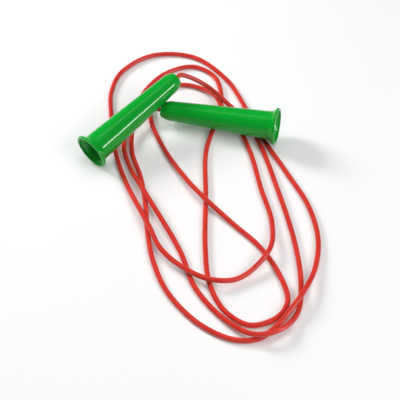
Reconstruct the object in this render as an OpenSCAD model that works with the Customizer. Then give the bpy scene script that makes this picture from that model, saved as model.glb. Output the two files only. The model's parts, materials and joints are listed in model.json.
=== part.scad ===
// Skipping rope: one round cord with a hollow flared handle turning on each end,
// laid down in loose loops with one handle resting across the other.
// +Z is up. The ground is at Z = 0 and the origin is under the middle of the handles.

/* [Handles] */
// Length of a handle, from its nose to its rim
handle_len = 126; // [105:1:150]
// Diameter of the flat face at the nose
nose_d = 16; // [14:0.5:19]
// Diameter at the shoulder, where the sloped nose ends
shoulder_d = 21; // [19:0.5:25]
// Diameter at the foot of the flare
foot_d = 30; // [25:0.5:34]
// Diameter of the rim
rim_d = 39; // [34:0.5:46]
// Length of the sloped nose
slope_len = 8; // [6:0.5:12]
// Length of the flare, its lip included
flare_len = 10; // [7:0.5:16]
// How far the arc of the flare turns outwards, in degrees
flare_turn = 50; // [20:5:80]
// Thickness of the straight lip at the rim
lip_t = 2.5; // [1.5:0.5:4]
// Thickness of the side wall
wall = 2; // [1.5:0.1:2.5]
// Thickness of the wall at the rim
rim_wall = 2.8; // [1.5:0.1:4]
// Thickness of the wall across the nose
nose_wall = 5; // [3:0.5:5.5]

/* [Swivel] */
// Diameter of the washer that the nose pulls against
washer_d = 13; // [10:0.5:13.5]
// Thickness of the washer
washer_t = 1.2; // [0.8:0.1:2]
// Diameter of the ferrule crimped on the cord
ferrule_d = 8; // [7.5:0.5:10]
// Length of the ferrule
ferrule_len = 10; // [6:0.5:14]
// Length of cord that shows past the ferrule
tail_len = 1.5; // [0.5:0.5:5]
// How far a handle can slide along the cord from the ferrule
end_play = 4; // [2:0.5:4]

/* [Cord] */
// Diameter of the cord
cord_d = 5; // [4:0.1:5]

/* [Fits] */
// Radial gap between the cord and the hole in a nose
nose_gap = 0.6; // [0.4:0.1:1]
// Radial gap between the cord and a washer
washer_gap = 0.4; // [0.3:0.1:0.8]
// Gap between the pieces that turn against each other
face_gap = 0.1; // [0.05:0.05:0.3]

/* [How it lies] */
// Height of the right handle's underside above the ground
right_lift = 6; // [6:0.5:10]
// Turn of the left handle about the vertical, from +X
left_yaw = 241; // [238:0.5:243]
// Distance from the left nose to where that handle crosses the right one
cross_at = 27; // [25:0.5:30]
// Gap between the two handles where they cross
stack_gap = 1.7; // [1.5:0.1:3]

/* [Hidden] */

$fn = 96;
CORD_SIDES = 10;
FLARE_STEPS = 6;
OVER = 1;                       // how far a cut runs past the face it opens

nose_r = nose_d / 2;
shoulder_r = shoulder_d / 2;
foot_r = foot_d / 2;
rim_r = rim_d / 2;
foot_at = handle_len - flare_len;
lip_at = handle_len - lip_t;
bore_r = cord_d / 2 + nose_gap;

// Places along a handle's axis, from its nose: the washer, the ferrule and the cord's end
washer_at = nose_wall + face_gap;
ferrule_at = washer_at + washer_t + face_gap;
cord_end = ferrule_at + ferrule_len + tail_len;

// The right handle lies across the cord with the straight underside of its body level, or on
// its rim if that would reach the ground first
right_xy = [-28.5, 34];
tilt = atan((foot_r - shoulder_r) / (foot_at - slope_len));
nose_on_cord = right_lift + shoulder_r / cos(tilt) - slope_len * sin(tilt);
nose_on_rim = rim_r * cos(tilt) - lip_at * sin(tilt);
right_nose = [right_xy.x, right_xy.y, max(nose_on_cord, nose_on_rim)];
right_axis = [cos(tilt), 0, sin(tilt)];

// The left handle lies on its rim and crosses over the right one near that one's nose
left_xy = [-19, 57];
// Radius of the left handle where it crosses, just over the right one's nose
grip_r = shoulder_r + (foot_r - shoulder_r) * (cross_at - slope_len) / (foot_at - slope_len);
cross_z = right_nose.z + nose_r + grip_r + stack_gap;
cross_reach = norm([handle_len - cross_at, rim_r]);
pitch = asin(cross_z / cross_reach) - atan(rim_r / (handle_len - cross_at));
left_nose = [left_xy.x, left_xy.y, rim_r * cos(pitch) + handle_len * sin(pitch)];
left_axis = [cos(left_yaw) * cos(pitch), sin(left_yaw) * cos(pitch), -sin(pitch)];

// The cord leaves each nose in line with the handle, straight for more than the end play
right_lead = end_play + 6;
left_lead = end_play + 3;

// The cord's way from the right nose to the left one. Each point is its place on the
// ground in mm, and how many cord diameters it is above lying flat.
ROUTE = [
    [-49, 30, 2.4], [-54, 17, 1.6], [-45, -22, 0.1], [-25, -56, 0], [-10, -88, 0], [4, -126, 0],
    [20, -160, 0], [45, -194, 0], [82, -220, 0], [115, -228, 0], [136, -221, 0], [148, -205, 0.3],
    [156, -189, 1.1], [164, -165, 1.2], [169, -131, 0.3], [165, -92, 0], [148, -52, 0],
    [118, -12, 0], [77, 40, 0], [55, 74, 0], [22, 117, 0], [-25, 146, 0], [-70, 137, 0],
    [-95, 101, 0], [-96, 64, 0], [-83, 24, 0], [-60, -30, 0], [-36, -69, 0.1], [3, -121, 1.2],
    [24, -147, 0.8], [51, -165, 1.2], [78, -172, 1.2], [103, -161, 0.4], [123, -125, 1.2],
    [118, -84, 0], [97, -40, 0], [75, 8, 0], [49, 49, 0], [29, 66, 1.2], [17, 82, 0.9],
    [-3, 94, 0.2], [-23, 95, 0], [-41, 83, 0], [-47, 59, 0], [-40, 30, 0], [-12, -12, 0],
    [24, -52, 0.6], [49, -75, 1.2], [81, -95, 0.2], [112, -116, 0], [138, -145, 0], [152, -174, 0],
    [146, -195, 0], [125, -209, 0], [100, -200, 0], [79, -174, 0], [64, -134, 0], [46, -64, 0],
    [30, -2, 0], [28, 60, 0], [23, 90, 0], [7, 119, 0], [-20, 129, 0], [-46, 110, 0], [-61, 68, 0],
    [-57, -12, 0], [-38, -49, 0.6], [-15, -78, 1.2], [40, -140, 0], [66, -180, 0], [98, -207, 0.1],
    [131, -222, 1.2], [152, -211, 1.1], [163, -186, 0.1], [160, -152, 0], [144, -102, 0],
    [110, -30, 0], [80, 26, 0], [60, 52, 0.2], [30, 70, 2.2], [8, 74, 4.8]
];
route_mm = [for (p = ROUTE) [p.x, p.y, cord_d * (p.z + 0.5)]];
path = concat(
    [right_nose + cord_end * right_axis, right_nose - right_lead * right_axis],
    route_mm,
    [left_nose - left_lead * left_axis, left_nose + cord_end * left_axis]);

function unit(v) = v / norm(v);

// Direction of a path at point i: along it at the ends, else halfway between its two legs
function heading(pts, i) =
    i == 0 ? unit(pts[1] - pts[0]) :
    i == len(pts) - 1 ? unit(pts[i] - pts[i - 1]) :
    unit(unit(pts[i] - pts[i - 1]) + unit(pts[i + 1] - pts[i]));

// One ring of a round tube, square to the path at point i
function ring(pts, i, r, sides) =
    let (t = heading(pts, i), side = unit(cross(t, [0, 0, 1])), top = cross(side, t))
    [for (k = [0:sides - 1]) let (a = 360 * k / sides)
        pts[i] + r * (cos(a) * side + sin(a) * top)];

// A closed round tube along a path
module tube(pts, r, sides) {
    rings = len(pts);
    corners = [for (i = [0:rings - 1]) each ring(pts, i, r, sides)];
    walls = [for (i = [0:rings - 2], k = [0:sides - 1])
        let (a = i * sides + k, b = i * sides + (k + 1) % sides)
        each [[a, b, b + sides], [a, b + sides, a + sides]]];
    start_cap = [for (k = [sides - 1:-1:0]) k];
    end_cap = [for (k = [0:sides - 1]) (rings - 1) * sides + k];
    polyhedron(corners, concat(walls, [start_cap, end_cap]));
}

// Radius of the outside of a handle's sloped nose, at a distance from its end face
function slope_r(at) = nose_r + (shoulder_r - nose_r) * at / slope_len;

// Arc that starts along the axis at the foot and turns out to another radius at the lip
function flare(from_r, to_r) =
    [for (k = [0:FLARE_STEPS]) let (a = flare_turn * k / FLARE_STEPS)
        [from_r + (to_r - from_r) * (1 - cos(a)) / (1 - cos(flare_turn)),
         foot_at + (lip_at - foot_at) * sin(a) / sin(flare_turn)]];

// Moves what is drawn along +Z from a nose onto each handle's own axis
module on_right() { translate(right_nose) rotate([0, 90 - tilt, 0]) children(); }
module on_left() { translate(left_nose) rotate([0, 90 + pitch, left_yaw]) children(); }

// Hollow moulded handle, nose at the origin and open rim at +Z
module handle() {
    outside = concat([[0, 0], [nose_r, 0], [shoulder_r, slope_len]],
                     flare(foot_r, rim_r), [[rim_r, handle_len], [0, handle_len]]);
    inside = concat([[0, nose_wall], [slope_r(nose_wall) - wall, nose_wall],
                     [shoulder_r - wall, slope_len]],
                    flare(foot_r - wall, rim_r - rim_wall),
                    [[rim_r - rim_wall, handle_len + OVER], [0, handle_len + OVER]]);
    difference() {
        rotate_extrude() polygon(outside);
        rotate_extrude() polygon(inside);
        translate([0, 0, -OVER]) cylinder(r = bore_r, h = nose_wall + 2 * OVER);
    }
}

// Flat washer behind the nose wall
module washer() {
    translate([0, 0, washer_at]) difference() {
        cylinder(d = washer_d, h = washer_t);
        translate([0, 0, -OVER]) cylinder(r = cord_d / 2 + washer_gap, h = washer_t + 2 * OVER);
    }
}

// Ferrule crimped on the cord, which stops the washer
module ferrule() {
    translate([0, 0, ferrule_at]) difference() {
        cylinder(d = ferrule_d, h = ferrule_len);
        translate([0, 0, -OVER]) cylinder(d = cord_d, h = ferrule_len + 2 * OVER);
    }
}

module cord() { color("firebrick") tube(path, cord_d / 2, CORD_SIDES); }
module left_handle() { color("forestgreen") on_left() handle(); }
module right_handle() { color("forestgreen") on_right() handle(); }
module left_washer() { color("gainsboro") on_left() washer(); }
module right_washer() { color("gainsboro") on_right() washer(); }
module left_ferrule() { color("silver") on_left() ferrule(); }
module right_ferrule() { color("silver") on_right() ferrule(); }

cord();
left_handle();
right_handle();
left_washer();
right_washer();
left_ferrule();
right_ferrule();
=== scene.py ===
"""Looks of a skipping rope: a soft PVC cord in loose loops, and two hollow moulded handles.

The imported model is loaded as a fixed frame. Each handle's place and direction come from its own
spin joint, and its size from the named sizes below, which are the design's own.
"""
import json
import math

import bpy
import numpy as np
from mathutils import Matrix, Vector


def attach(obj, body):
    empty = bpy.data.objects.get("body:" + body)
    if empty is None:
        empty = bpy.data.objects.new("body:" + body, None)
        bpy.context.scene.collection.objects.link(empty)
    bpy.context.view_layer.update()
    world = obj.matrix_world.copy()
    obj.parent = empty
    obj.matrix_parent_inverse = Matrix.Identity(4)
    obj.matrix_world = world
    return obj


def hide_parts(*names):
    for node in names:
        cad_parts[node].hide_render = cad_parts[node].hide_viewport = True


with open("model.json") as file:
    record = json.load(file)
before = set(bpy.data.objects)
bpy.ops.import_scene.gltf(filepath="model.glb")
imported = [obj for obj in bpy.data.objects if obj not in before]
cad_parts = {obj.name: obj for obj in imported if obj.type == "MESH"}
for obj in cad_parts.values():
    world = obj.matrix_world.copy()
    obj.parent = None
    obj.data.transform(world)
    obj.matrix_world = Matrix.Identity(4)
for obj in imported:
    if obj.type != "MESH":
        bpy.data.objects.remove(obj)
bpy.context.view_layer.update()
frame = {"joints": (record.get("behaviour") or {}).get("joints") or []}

MM = 0.001
TURN = 2 * math.pi

# Cord, in mm
CORD_D = 5
TAIL_LEN = 1.5                  # what shows past each ferrule

# Fits, in mm
NOSE_GAP = 0.6                  # round the cord, in a nose
WASHER_GAP = 0.4                # round the cord, in a washer
FACE_GAP = 0.1                  # between faces that turn against each other
END_PLAY = 4                    # how far a handle slides along the cord

# Handle, in mm: distances along the axis from the nose, and radii
HANDLE_LEN, FLARE_LEN, LIP_T = 126, 10, 2.5
NOSE_R = 8
SHOULDER_AT, SHOULDER_R = 8, 10.5
FOOT_AT, FOOT_R = HANDLE_LEN - FLARE_LEN, 15
LIP_AT, RIM_R = HANDLE_LEN - LIP_T, 19.5
FLARE_TURN = math.radians(50)   # how far the arc of the flare turns outwards
WALL, RIM_WALL, NOSE_WALL = 2, 2.8, 5
BORE_R = CORD_D / 2 + NOSE_GAP

# Washer and ferrule behind the nose wall, in mm
WASHER_AT, WASHER_T = NOSE_WALL + FACE_GAP, 1.2
WASHER_R, WASHER_BORE_R = 6.5, CORD_D / 2 + WASHER_GAP
FERRULE_AT, FERRULE_LEN, FERRULE_R = WASHER_AT + WASHER_T + FACE_GAP, 10, 4
CORD_END = FERRULE_AT + FERRULE_LEN + TAIL_LEN

# How far the cord runs straight outside each nose, in mm
RIGHT_LEAD, LEFT_LEAD = END_PLAY + 6, END_PLAY + 3

# How far the rounding of each edge reaches from its corner, in mm
BORE_EDGE = 0.5                 # hole for the cord, at the nose face
NOSE_EDGE = 1.4                 # nose face to slope
SHOULDER_EDGE = 2.5             # slope to body
LIP_BACK_EDGE = 0.5             # flare to lip
RIM_EDGE, MOUTH_EDGE = 1.2, 0.8     # outside and inside of the rim
POCKET_EDGE = 0.8               # side wall to the back of the nose wall
BORE_BACK_EDGE = 0.4            # hole for the cord, at the back of the nose wall
WASHER_EDGE, FERRULE_EDGE = 0.25, 0.4

# Ridges where the halves of the mould met, in mm
SEAM_HEIGHT, SEAM_HALF_WIDTH = 0.04, 0.4
SEAM_START = 1                  # from the nose face
SEAM_DEPTH = 3.4                # of the layer that they lie in, under a line from nose to rim
SEAM_CROWDING = 0.75            # share by which columns draw together at a ridge

# Dents of the crimp: their rows are at these shares of the ferrule's length
CRIMP_ROWS, CRIMP_DENTS = (0.3, 0.7), 6
CRIMP_DEPTH, CRIMP_HALF_LENGTH = 0.35, 1.3  # mm
CRIMP_SHARPNESS = 1.5
CRIMP_WALL = 0.9                # mm of the wall, out from the bore, that stays round

# How finely the shapes are divided: points in a round, or the longest step in mm
HANDLE_COLUMNS, RING_COLUMNS, CORD_COLUMNS = 192, 96, 20
FLARE_POINTS, EDGE_POINTS, RING_EDGE_POINTS = 14, 8, 5
HANDLE_STEP, FERRULE_STEP, CORD_STEP = 2.5, 0.5, 2.0
LEG_POINTS = 16                 # between two points of the route

# Camera, in m: what it looks at and where it stands from there. Lens and sensor are in mm.
CAMERA_AIM = Vector((0.0414, -0.0695, 0.0))
CAMERA_AWAY = Vector((0.1785, -0.6661, 0.7242))
LENS, SENSOR = 90, 36

# Floor, in m: half its side, and how far it is under the ground so that no face lies in it
FLOOR_HALF, FLOOR_DROP = 3.0, 0.0002

# Lamps: name, direction from what they light, distance, width and height in m, power in W, and
# the rays that they are hidden from
LIGHT_AIM = Vector((0.03, -0.02, 0.01))
LAMPS = [
    ("overhead", (0.05, 0.12, 0.99), 2.6, 2.4, 2.0, 31, "glossy"),
    ("low_left", (-0.84, 0.28, 0.5), 1.8, 0.6, 0.6, 29, "glossy"),
    ("fill_right", (0.7, -0.35, 0.62), 1.8, 0.8, 0.8, 15, "glossy"),
    ("strip_right", (0.92, -0.13, 0.353), 1.4, 0.7, 0.12, 10, "diffuse"),
    ("ceiling_strip", (-0.1, 0.24, 0.97), 1.6, 0.9, 0.08, 0.9, "diffuse"),
]

# The cord's way from the right nose to the left one: place on the ground in mm, and how many
# cord diameters it is above lying flat
ROUTE = [
    (-49, 30, 2.4), (-54, 17, 1.6), (-45, -22, 0.1), (-25, -56, 0), (-10, -88, 0), (4, -126, 0),
    (20, -160, 0), (45, -194, 0), (82, -220, 0), (115, -228, 0), (136, -221, 0), (148, -205, 0.3),
    (156, -189, 1.1), (164, -165, 1.2), (169, -131, 0.3), (165, -92, 0), (148, -52, 0),
    (118, -12, 0), (77, 40, 0), (55, 74, 0), (22, 117, 0), (-25, 146, 0), (-70, 137, 0),
    (-95, 101, 0), (-96, 64, 0), (-83, 24, 0), (-60, -30, 0), (-36, -69, 0.1), (3, -121, 1.2),
    (24, -147, 0.8), (51, -165, 1.2), (78, -172, 1.2), (103, -161, 0.4), (123, -125, 1.2),
    (118, -84, 0), (97, -40, 0), (75, 8, 0), (49, 49, 0), (29, 66, 1.2), (17, 82, 0.9),
    (-3, 94, 0.2), (-23, 95, 0), (-41, 83, 0), (-47, 59, 0), (-40, 30, 0), (-12, -12, 0),
    (24, -52, 0.6), (49, -75, 1.2), (81, -95, 0.2), (112, -116, 0), (138, -145, 0), (152, -174, 0),
    (146, -195, 0), (125, -209, 0), (100, -200, 0), (79, -174, 0), (64, -134, 0), (46, -64, 0),
    (30, -2, 0), (28, 60, 0), (23, 90, 0), (7, 119, 0), (-20, 129, 0), (-46, 110, 0), (-61, 68, 0),
    (-57, -12, 0), (-38, -49, 0.6), (-15, -78, 1.2), (40, -140, 0), (66, -180, 0), (98, -207, 0.1),
    (131, -222, 1.2), (152, -211, 1.1), (163, -186, 0.1), (160, -152, 0), (144, -102, 0),
    (110, -30, 0), (80, 26, 0), (60, 52, 0.2), (30, 70, 2.2), (8, 74, 4.8),
]


# ---------------------------------------------------------------- places from the frame

def unit(v):
    """A vector, or rows of vectors, divided by their own length."""
    return v / np.linalg.norm(v, axis=-1, keepdims=True)


def handle_axes(spin):
    """Nose position in mm, axis, level side and upward normal of the handle on a spin joint."""
    joint = next(j for j in frame["joints"] if j["name"] == spin)
    nose = np.array(joint["pos_m"]) / MM
    axis = unit(np.array(joint["axis"], float))
    side = unit(np.cross([0.0, 0.0, 1.0], axis))
    return nose, axis, side, np.cross(axis, side)


SIDES = {"right": handle_axes("right_spin"), "left": handle_axes("left_spin")}


# ---------------------------------------------------------------- camera

def add_camera():
    """Long lens looking down at the loops from the front, a little from the right."""
    data = bpy.data.cameras.new("camera")
    data.lens = LENS
    data.sensor_width = SENSOR
    camera = bpy.data.objects.new("camera", data)
    camera.location = CAMERA_AIM + CAMERA_AWAY
    camera.rotation_euler = (CAMERA_AIM - camera.location).to_track_quat("-Z", "Y").to_euler()
    bpy.context.scene.collection.objects.link(camera)
    bpy.context.scene.camera = camera


add_camera()


# ---------------------------------------------------------------- surfaces

def grid_faces(rows, cols, wrap_rows):
    """Quads of a grid whose columns close on themselves, and whose rows do if wrap_rows."""
    i = np.arange(rows if wrap_rows else rows - 1)[:, None]
    j = np.arange(cols)[None]
    below, beside = (i + 1) % rows, (j + 1) % cols
    quads = np.stack([i * cols + j, i * cols + beside,
                      below * cols + beside, below * cols + j], -1)
    return quads.reshape(-1, 4)


def make_mesh(name, grid, uv, wrap_rows, material):
    """Smooth shaded object from a grid of points in mm, with a UV map in metres.

    grid is rows x columns x 3, and its columns go once round. uv is (rows + 1) x (columns + 1) x 2
    when the rows wrap, else rows x (columns + 1) x 2, so that the last column can differ from the
    first. Open ends are closed with a fan to a middle point. Faces are turned to look outwards by
    the sign of the volume: the sum of each triangle's corner triple product.
    """
    rows, cols = grid.shape[:2]
    points = grid.reshape(-1, 3) * MM
    quads = grid_faces(rows, cols, wrap_rows)
    i = np.repeat(np.arange(rows if wrap_rows else rows - 1), cols)
    j = np.tile(np.arange(cols), len(i) // cols)
    corners = np.stack([uv[i, j], uv[i, j + 1], uv[i + 1, j + 1], uv[i + 1, j]], 1)
    faces = [tuple(quad) for quad in quads.tolist()]
    corner_uv = [corners.reshape(-1, 2)]
    if not wrap_rows:
        ring = np.arange(cols)
        for row in (0, rows - 1):
            this, following = row * cols + ring, row * cols + (ring + 1) % cols
            edge = (following, this) if row == 0 else (this, following)
            fan = np.stack([np.full(cols, len(points)), *edge], 1)
            points = np.vstack([points, grid[row].mean(0) * MM])
            faces += [tuple(triangle) for triangle in fan.tolist()]
            corner_uv.append(np.repeat(uv[row, :cols], 3, 0))
    tri = np.vstack([quads[:, :3], quads[:, [0, 2, 3]]])
    a, b, c = points[tri[:, 0]], points[tri[:, 1]], points[tri[:, 2]]
    inside_out = np.einsum("ij,ij->", a, np.cross(b, c)) < 0
    mesh = bpy.data.meshes.new(name)
    mesh.from_pydata(points.tolist(), [], faces)
    mesh.uv_layers.new(name="surface").data.foreach_set("uv", np.vstack(corner_uv).ravel())
    if inside_out:
        mesh.flip_normals()
    mesh.polygons.foreach_set("use_smooth", [True] * len(mesh.polygons))
    mesh.materials.append(material)
    mesh.update()
    piece = bpy.data.objects.new(name, mesh)
    bpy.context.scene.collection.objects.link(piece)
    return piece


def fillet(before, corner, after, size, count=EDGE_POINTS):
    """Rounded corner of count points: a parabola from size mm before it to size mm after it."""
    before, corner, after = (np.array(p, float) for p in (before, corner, after))
    start = corner + size * unit(before - corner)
    end = corner + size * unit(after - corner)
    t = np.linspace(0, 1, count)[:, None]
    return (1 - t) ** 2 * start + 2 * t * (1 - t) * corner + t ** 2 * end


def split_long(profile, longest):
    """The same closed outline with more points, none further apart than longest mm.

    Each side is cut into as many equal parts as that takes.
    """
    side = np.roll(profile, -1, 0) - profile
    parts = np.maximum(1, np.ceil(np.linalg.norm(side, axis=1) / longest)).astype(int)
    corner = np.repeat(np.arange(len(profile)), parts)
    part = np.arange(len(corner)) - np.repeat(np.cumsum(parts) - parts, parts)
    return profile[corner] + side[corner] * part[:, None] / parts[corner][:, None]


def lathe(name, profile, axes, material, turns, relief=None):
    """Closed solid of revolution: outline (distance along the axis, radius) in mm, turned.

    A point is nose + at * axis + r * (cos(angle) * side + sin(angle) * up). relief adds to the
    radius by a formula of (at, angle, radius). turns are the angles of the columns. The UV map is
    the distance along the outline, and the distance round at the radius of a handle's shoulder.
    """
    nose, axis, side, up = axes
    at, r = profile[:, :1], profile[:, 1:]
    angle = turns[None]
    if relief:
        r = r + relief(at, angle, r)
    around = np.cos(angle)[..., None] * side + np.sin(angle)[..., None] * up
    r = np.broadcast_to(r, (len(profile), len(turns)))
    grid = nose + at[..., None] * axis + r[..., None] * around
    steps = np.linalg.norm(np.diff(np.vstack([profile, profile[:1]]), axis=0), axis=1)
    along = np.concatenate([[0], np.cumsum(steps)])
    whole = np.append(turns, turns[0] + TURN)
    uv = np.stack(np.broadcast_arrays(along[:, None] * MM, whole[None] * SHOULDER_R * MM), -1)
    return make_mesh(name, grid, uv, True, material)


def even_turns(count):
    """Angles of count columns, evenly round."""
    return np.arange(count) * TURN / count


# ---------------------------------------------------------------- materials

def colour(hex_code):
    """Linear RGBA of an sRGB colour written as six hex digits."""
    s = np.array([int(hex_code[k:k + 2], 16) for k in (0, 2, 4)]) / 255
    linear = np.where(s <= 0.04045, s / 12.92, ((s + 0.055) / 1.055) ** 2.4)
    return (*linear.tolist(), 1.0)


def new_material(name, **shader):
    """Material with one Principled shader, whose sockets are set by name."""
    material = bpy.data.materials.new(name)
    material.use_nodes = True
    principled = material.node_tree.nodes["Principled BSDF"]
    for socket, value in shader.items():
        principled.inputs[socket.replace("_", " ")].default_value = value
    return material, principled


def add_node(material, kind, inputs=None, **settings):
    """Adds a node, sets its properties, and gives each input a value or a link to an output."""
    node = material.node_tree.nodes.new(kind)
    for key, value in settings.items():
        setattr(node, key, value)
    for key, value in (inputs or {}).items():
        if isinstance(value, bpy.types.NodeSocket):
            material.node_tree.links.new(value, node.inputs[key])
        else:
            node.inputs[key].default_value = value
    return node


def link(material, output, socket):
    """Joins an output to a socket of the material's shader."""
    material.node_tree.links.new(output, socket)


def per_metre(size_mm):
    """Texture scale at which a pattern repeats every size_mm."""
    return 1 / (size_mm * MM)


def handle_plastic():
    """Injection moulded polypropylene: a smooth glossy skin that shows the flow of the melt.

    The eye sees a clear highlight, slightly wavy from shrinkage, a faint drift in the green along
    the flow, and dull hairline scuffs from lying on the ground.
    """
    m, shader = new_material("moulded_polypropylene_green", IOR=1.49, Specular_IOR_Level=0.4)
    place = add_node(m, "ShaderNodeTexCoord")
    # drift of the green: about 9 mm across and 75 mm along the flow
    flow = add_node(m, "ShaderNodeMapping", {"Vector": place.outputs["UV"], "Scale": (0.12, 1, 1)})
    drift = add_node(m, "ShaderNodeTexNoise", {"Vector": flow.outputs[0], "Scale": per_metre(9),
                                               "Detail": 3.0})
    tone = add_node(m, "ShaderNodeValToRGB", {"Fac": drift.outputs["Fac"]})
    tone.color_ramp.elements[0].color = colour("009022")
    tone.color_ramp.elements[1].color = colour("06AE34")
    link(m, tone.outputs["Color"], shader.inputs["Base Color"])
    # scuffs: about 0.5 mm wide and 8 mm long, running round the grip
    rub = add_node(m, "ShaderNodeMapping", {"Vector": place.outputs["UV"], "Scale": (1, 0.06, 1)})
    scuff = add_node(m, "ShaderNodeTexNoise", {"Vector": rub.outputs[0], "Scale": per_metre(0.5),
                                               "Detail": 4.0})
    gloss = add_node(m, "ShaderNodeMapRange", {"Value": scuff.outputs["Fac"], "From Min": 0.56,
                                               "From Max": 0.75, "To Min": 0.17, "To Max": 0.25})
    link(m, gloss.outputs["Result"], shader.inputs["Roughness"])
    # shrinkage waves about 6 mm across, and the 0.4 mm orange peel of the mould's skin
    wave = add_node(m, "ShaderNodeTexNoise", {"Vector": place.outputs["Object"],
                                              "Scale": per_metre(6), "Detail": 0.0})
    peel = add_node(m, "ShaderNodeTexNoise", {"Vector": place.outputs["Object"],
                                              "Scale": per_metre(0.4), "Detail": 1.0})
    low = add_node(m, "ShaderNodeBump", {"Height": wave.outputs["Fac"], "Strength": 0.3,
                                         "Distance": 0.05 * MM})
    high = add_node(m, "ShaderNodeBump", {"Height": peel.outputs["Fac"], "Strength": 0.25,
                                          "Distance": 0.006 * MM, "Normal": low.outputs[0]})
    link(m, high.outputs[0], shader.inputs["Normal"])
    return m


def cord_plastic():
    """Soft PVC, extruded: a smooth satin skin with faint draw lines along the cord.

    The eye sees a soft pink highlight along the top, a red that drifts a little along the cord,
    and dust that dulls the gloss in patches.
    """
    m, shader = new_material("extruded_soft_pvc_red", IOR=1.53)
    place = add_node(m, "ShaderNodeTexCoord")
    # patches about 14 mm across, in both the red and the gloss
    patch = add_node(m, "ShaderNodeTexNoise", {"Vector": place.outputs["Object"],
                                               "Scale": per_metre(14), "Detail": 3.0})
    tone = add_node(m, "ShaderNodeValToRGB", {"Fac": patch.outputs["Fac"]})
    tone.color_ramp.elements[0].color = colour("BE2016")
    tone.color_ramp.elements[1].color = colour("E23E32")
    link(m, tone.outputs["Color"], shader.inputs["Base Color"])
    gloss = add_node(m, "ShaderNodeMapRange", {"Value": patch.outputs["Fac"], "To Min": 0.3,
                                               "To Max": 0.45})
    link(m, gloss.outputs["Result"], shader.inputs["Roughness"])
    # draw lines about 0.6 mm apart round the cord and 25 mm long
    draw = add_node(m, "ShaderNodeMapping", {"Vector": place.outputs["UV"],
                                             "Scale": (0.024, 1, 1)})
    line = add_node(m, "ShaderNodeTexNoise", {"Vector": draw.outputs[0], "Scale": per_metre(0.6),
                                              "Detail": 2.0})
    bump = add_node(m, "ShaderNodeBump", {"Height": line.outputs["Fac"], "Strength": 0.3,
                                          "Distance": 0.02 * MM})
    link(m, bump.outputs[0], shader.inputs["Normal"])
    return m


def washer_steel():
    """Zinc plated steel, stamped: grey metal with a crystalline bloom, in grains of 0.9 mm."""
    m, shader = new_material("zinc_plated_steel", Metallic=1.0)
    place = add_node(m, "ShaderNodeTexCoord")
    bloom = add_node(m, "ShaderNodeTexVoronoi", {"Vector": place.outputs["Object"],
                                                 "Scale": per_metre(0.9)})
    tone = add_node(m, "ShaderNodeValToRGB", {"Fac": bloom.outputs["Distance"]})
    tone.color_ramp.elements[0].color = colour("A9ABAD")
    tone.color_ramp.elements[1].color = colour("C6C8CA")
    link(m, tone.outputs["Color"], shader.inputs["Base Color"])
    gloss = add_node(m, "ShaderNodeMapRange", {"Value": bloom.outputs["Distance"],
                                               "To Min": 0.28, "To Max": 0.45})
    link(m, gloss.outputs["Result"], shader.inputs["Roughness"])
    return m


def ferrule_aluminium():
    """Drawn aluminium tube, crimped: pale metal with fine lines along the draw."""
    m, shader = new_material("drawn_aluminium", Metallic=1.0, Roughness=0.32)
    place = add_node(m, "ShaderNodeTexCoord")
    draw = add_node(m, "ShaderNodeMapping", {"Vector": place.outputs["UV"], "Scale": (0.03, 1, 1)})
    line = add_node(m, "ShaderNodeTexNoise", {"Vector": draw.outputs[0], "Scale": per_metre(0.3),
                                              "Detail": 3.0})
    tone = add_node(m, "ShaderNodeValToRGB", {"Fac": line.outputs["Fac"]})
    tone.color_ramp.elements[0].color = colour("C4C5C7")
    tone.color_ramp.elements[1].color = colour("DEDFE0")
    link(m, tone.outputs["Color"], shader.inputs["Base Color"])
    bump = add_node(m, "ShaderNodeBump", {"Height": line.outputs["Fac"], "Strength": 0.4,
                                          "Distance": 0.01 * MM})
    link(m, bump.outputs[0], shader.inputs["Normal"])
    return m


GREEN = handle_plastic()
RED = cord_plastic()
STEEL = washer_steel()
ALUMINIUM = ferrule_aluminium()


# ---------------------------------------------------------------- cord

def through(points, per_leg):
    """Smooth curve through points, with per_leg points to a leg: a centripetal Catmull-Rom curve.

    A knot's value grows by the square root of the distance to the next point. A leg blends the
    lines through its two ends and the points beyond them, in pairs, then those blends again.
    """
    p = np.vstack([2 * points[0] - points[1], points, 2 * points[-1] - points[-2]])
    knots = np.concatenate([[0], np.cumsum(np.linalg.norm(np.diff(p, axis=0), axis=1) ** 0.5)])
    p0, p1, p2, p3 = (p[k:len(p) - 3 + k, None] for k in range(4))
    t0, t1, t2, t3 = (knots[k:len(p) - 3 + k, None, None] for k in range(4))
    t = t1 + (t2 - t1) * np.linspace(0, 1, per_leg, endpoint=False)[None, :, None]
    a1 = ((t1 - t) * p0 + (t - t0) * p1) / (t1 - t0)
    a2 = ((t2 - t) * p1 + (t - t1) * p2) / (t2 - t1)
    a3 = ((t3 - t) * p2 + (t - t2) * p3) / (t3 - t2)
    b1 = ((t2 - t) * a1 + (t - t0) * a2) / (t2 - t0)
    b2 = ((t3 - t) * a2 + (t - t1) * a3) / (t3 - t1)
    curve = ((t2 - t) * b1 + (t - t1) * b2) / (t2 - t1)
    return np.vstack([curve.reshape(-1, 3), points[-1:]])


def evenly(curve, step):
    """The same curve at points about step mm apart, and the distance along it of each."""
    run = np.concatenate([[0], np.cumsum(np.linalg.norm(np.diff(curve, axis=0), axis=1))])
    marks = np.linspace(0, run[-1], int(run[-1] / step) + 1)
    return np.stack([np.interp(marks, run, curve[:, k]) for k in range(3)], 1), marks


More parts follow.
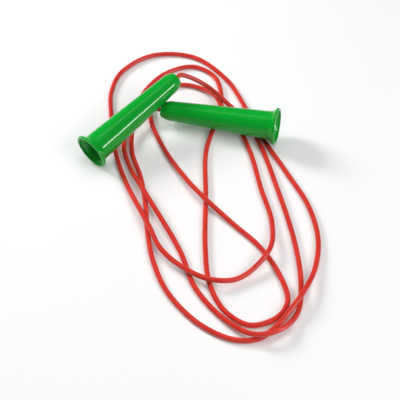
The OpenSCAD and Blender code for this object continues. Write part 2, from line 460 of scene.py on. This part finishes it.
def cord_line():
    """Middle line of the cord from its end in the right handle to that in the left one.

    Each point's distance along it comes with it. The line is straight as far as each nose, and
    never lower than the cord lying on the ground.
    """
    right_nose, right_axis = SIDES["right"][:2]
    left_nose, left_axis = SIDES["left"][:2]
    flat = np.array(ROUTE, float)
    lying = np.column_stack([flat[:, :2], CORD_D * (flat[:, 2] + 0.5)])
    points = np.vstack([right_nose + CORD_END * right_axis, right_nose,
                        right_nose - RIGHT_LEAD * right_axis,
                        lying,
                        left_nose - LEFT_LEAD * left_axis,
                        left_nose, left_nose + CORD_END * left_axis])
    curve = through(points, LEG_POINTS)
    curve[:, 2] = np.maximum(curve[:, 2], CORD_D / 2)
    return evenly(curve, CORD_STEP)


def build_cord():
    """Round tube, and its middle line in m: each ring is square to the line at its centre."""
    line, run = cord_line()
    heading = unit(np.gradient(line, axis=0))
    side = unit(np.cross(heading, [0.0, 0.0, 1.0]))
    top = np.cross(side, heading)
    angle = even_turns(CORD_COLUMNS)
    around = (np.cos(angle)[None, :, None] * side[:, None]
              + np.sin(angle)[None, :, None] * top[:, None])
    grid = line[:, None] + CORD_D / 2 * around
    girth = np.append(angle, TURN) * CORD_D / 2
    uv = np.stack(np.broadcast_arrays(run[:, None] * MM, girth[None] * MM), -1)
    return make_mesh("pvc_cord", grid, uv, False, RED), line * MM


# ---------------------------------------------------------------- handles

def flare(from_r, to_r):
    """Arc that leaves the foot along the axis and turns out to the lip.

    The place along the axis goes by the sine of the angle turned, the radius by 1 - cosine.
    """
    turned = np.linspace(0, FLARE_TURN, FLARE_POINTS)
    along = np.sin(turned) / math.sin(FLARE_TURN)
    outwards = (1 - np.cos(turned)) / (1 - math.cos(FLARE_TURN))
    return np.column_stack([FOOT_AT + (LIP_AT - FOOT_AT) * along,
                            from_r + (to_r - from_r) * outwards])


def handle_profile():
    """Closed outline of the wall: up the outside from the bore, over the rim and down inside."""
    slope = (SHOULDER_R - NOSE_R) / SHOULDER_AT
    bore, bore_back = (0, BORE_R), (NOSE_WALL, BORE_R)
    nose, shoulder, foot = (0, NOSE_R), (SHOULDER_AT, SHOULDER_R), (FOOT_AT, FOOT_R)
    lip, rim = (LIP_AT, RIM_R), (HANDLE_LEN, RIM_R)
    inner_lip, mouth = (LIP_AT, RIM_R - RIM_WALL), (HANDLE_LEN, RIM_R - RIM_WALL)
    inner_shoulder = (SHOULDER_AT, SHOULDER_R - WALL)
    pocket = (NOSE_WALL, NOSE_R + slope * NOSE_WALL - WALL)
    outer_flare = flare(FOOT_R, RIM_R)[:-1]
    inner_flare = flare(FOOT_R - WALL, RIM_R - RIM_WALL)[::-1]
    parts = [
        fillet(bore_back, bore, nose, BORE_EDGE),
        fillet(bore, nose, shoulder, NOSE_EDGE),
        fillet(nose, shoulder, foot, SHOULDER_EDGE),
        outer_flare,
        fillet(outer_flare[-1], lip, rim, LIP_BACK_EDGE),
        fillet(lip, rim, mouth, RIM_EDGE),
        fillet(rim, mouth, inner_lip, MOUTH_EDGE),
        inner_flare,
        [inner_shoulder],
        fillet(inner_shoulder, pocket, bore_back, POCKET_EDGE),
        fillet(pocket, bore_back, bore, BORE_BACK_EDGE),
    ]
    return split_long(np.vstack(parts), HANDLE_STEP)


def seam_turns():
    """Angles of a handle's columns, drawn together at the ridges, at 0 and half a turn.

    Each is an even angle less half the crowding times the sine of twice that angle.
    """
    even = even_turns(HANDLE_COLUMNS)
    return even - SEAM_CROWDING * np.sin(2 * even) / 2


def parting_line(at, angle, r):
    """Height of the two ridges: SEAM_HEIGHT * exp(-(distance / SEAM_HALF_WIDTH) ** 2).

    They lie in the layer SEAM_DEPTH under a straight line from the nose's edge to the rim: on
    the outside, apart from about 6 mm at the foot of the flare, round the mouth, and on the half
    of the inner wall that is nearer the nose.
    """
    layer = np.interp(at, (0, HANDLE_LEN), (NOSE_R - SEAM_DEPTH, RIM_R - SEAM_DEPTH))
    away = np.abs(np.sin(angle)) * r
    ridge = SEAM_HEIGHT * np.exp(-(away / SEAM_HALF_WIDTH) ** 2)
    return np.where((r > layer) & (at > SEAM_START), ridge, 0.0)


def build_handle(name, axes):
    """Hollow handle: the wall's outline turned round the axis, with the ridges of the mould."""
    return lathe(name, handle_profile(), axes, GREEN, seam_turns(), parting_line)


# ---------------------------------------------------------------- washer and ferrule

def ring_outline(start, length, bore_r, outer_r, edge):
    """Closed outline of a flat or long ring with its four edges rounded."""
    corners = [(start, bore_r), (start, outer_r), (start + length, outer_r),
               (start + length, bore_r)]
    return np.vstack([fillet(corners[k - 1], corners[k], corners[(k + 1) % 4], edge,
                             RING_EDGE_POINTS) for k in range(4)])


def build_washer(name, axes):
    """Flat ring with edges rounded by the stamping."""
    outline = ring_outline(WASHER_AT, WASHER_T, WASHER_BORE_R, WASHER_R, WASHER_EDGE)
    return lathe(name, outline, axes, STEEL, even_turns(RING_COLUMNS))


def crimp(at, angle, r):
    """Depth of two rows of dents in the outside of the ferrule.

    It is CRIMP_DEPTH * exp(-(distance from a row / CRIMP_HALF_LENGTH) ** 2), added over the rows,
    times the positive part of cos(CRIMP_DENTS * angle) to the power CRIMP_SHARPNESS.
    """
    away = [at - FERRULE_AT - share * FERRULE_LEN for share in CRIMP_ROWS]
    rows = sum(np.exp(-(distance / CRIMP_HALF_LENGTH) ** 2) for distance in away)
    dents = np.maximum(np.cos(CRIMP_DENTS * angle), 0) ** CRIMP_SHARPNESS
    return np.where(r > CORD_D / 2 + CRIMP_WALL, -CRIMP_DEPTH * rows * dents, 0.0)


def build_ferrule(name, axes):
    """Short tube on the cord's end, its edges rounded and its wall dented by the crimp."""
    outline = ring_outline(FERRULE_AT, FERRULE_LEN, CORD_D / 2, FERRULE_R, FERRULE_EDGE)
    return lathe(name, split_long(outline, FERRULE_STEP), axes, ALUMINIUM,
                 even_turns(RING_COLUMNS), crimp)


# ---------------------------------------------------------------- the pieces

cord, cord_path = build_cord()
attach(cord, "rope")
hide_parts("cord")
for hand, axes in SIDES.items():
    handle = build_handle(hand + "_handle_moulding", axes)
    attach(handle, hand + "_handle")
    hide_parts(hand + "_handle")
    washer = build_washer(hand + "_stamped_washer", axes)
    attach(washer, hand + "_washer")
    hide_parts(hand + "_washer")
    ferrule = build_ferrule(hand + "_crimped_ferrule", axes)
    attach(ferrule, "rope")
    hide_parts(hand + "_ferrule")


# ---------------------------------------------------------------- floor and light

def add_floor():
    """Flat pale board, matt, with a little glow so that it stays white under soft light."""
    half = FLOOR_HALF
    mesh = bpy.data.meshes.new("floor")
    mesh.from_pydata([(-half, -half, 0), (half, -half, 0), (half, half, 0), (-half, half, 0)], [],
                     [(0, 1, 2, 3)])
    board = new_material("white_studio_board", Base_Color=colour("E2E2E2"), Roughness=0.9,
                         Specular_IOR_Level=0.1, Emission_Color=colour("FFFFFF"),
                         Emission_Strength=0.1)[0]
    mesh.materials.append(board)
    floor = bpy.data.objects.new("floor", mesh)
    floor.location.z = -FLOOR_DROP
    bpy.context.scene.collection.objects.link(floor)


def add_softbox(name, direction, distance, width, height, power, hidden_from):
    """Rectangular light at a distance along a direction from LIGHT_AIM, which it faces."""
    data = bpy.data.lights.new(name, "AREA")
    data.shape = "RECTANGLE"
    data.size = width
    data.size_y = height
    data.energy = power
    lamp = bpy.data.objects.new(name, data)
    lamp.location = LIGHT_AIM + distance * Vector(direction).normalized()
    lamp.rotation_euler = (LIGHT_AIM - lamp.location).to_track_quat("-Z", "Y").to_euler()
    lamp.visible_glossy = hidden_from != "glossy"
    lamp.visible_diffuse = hidden_from != "diffuse"
    bpy.context.scene.collection.objects.link(lamp)


def add_light():
    """Soft light for colour and shadow, and two strips for the highlights alone.

    The broad one above, the low one on the left that throws the shadows, and the fill on the
    right are hidden from glossy rays, so that they don't pale the plastics. The strips, on the
    right and above, are hidden from diffuse rays. The plain view transform keeps the plastics as
    strong as they are.
    """
    bpy.context.scene.view_settings.view_transform = "Standard"
    world = bpy.data.worlds.new("studio")
    world.use_nodes = True
    background = world.node_tree.nodes["Background"].inputs
    background["Color"].default_value = colour("E8ECF0")
    background["Strength"].default_value = 0.13
    bpy.context.scene.world = world
    for lamp in LAMPS:
        add_softbox(*lamp)


add_floor()
add_light()
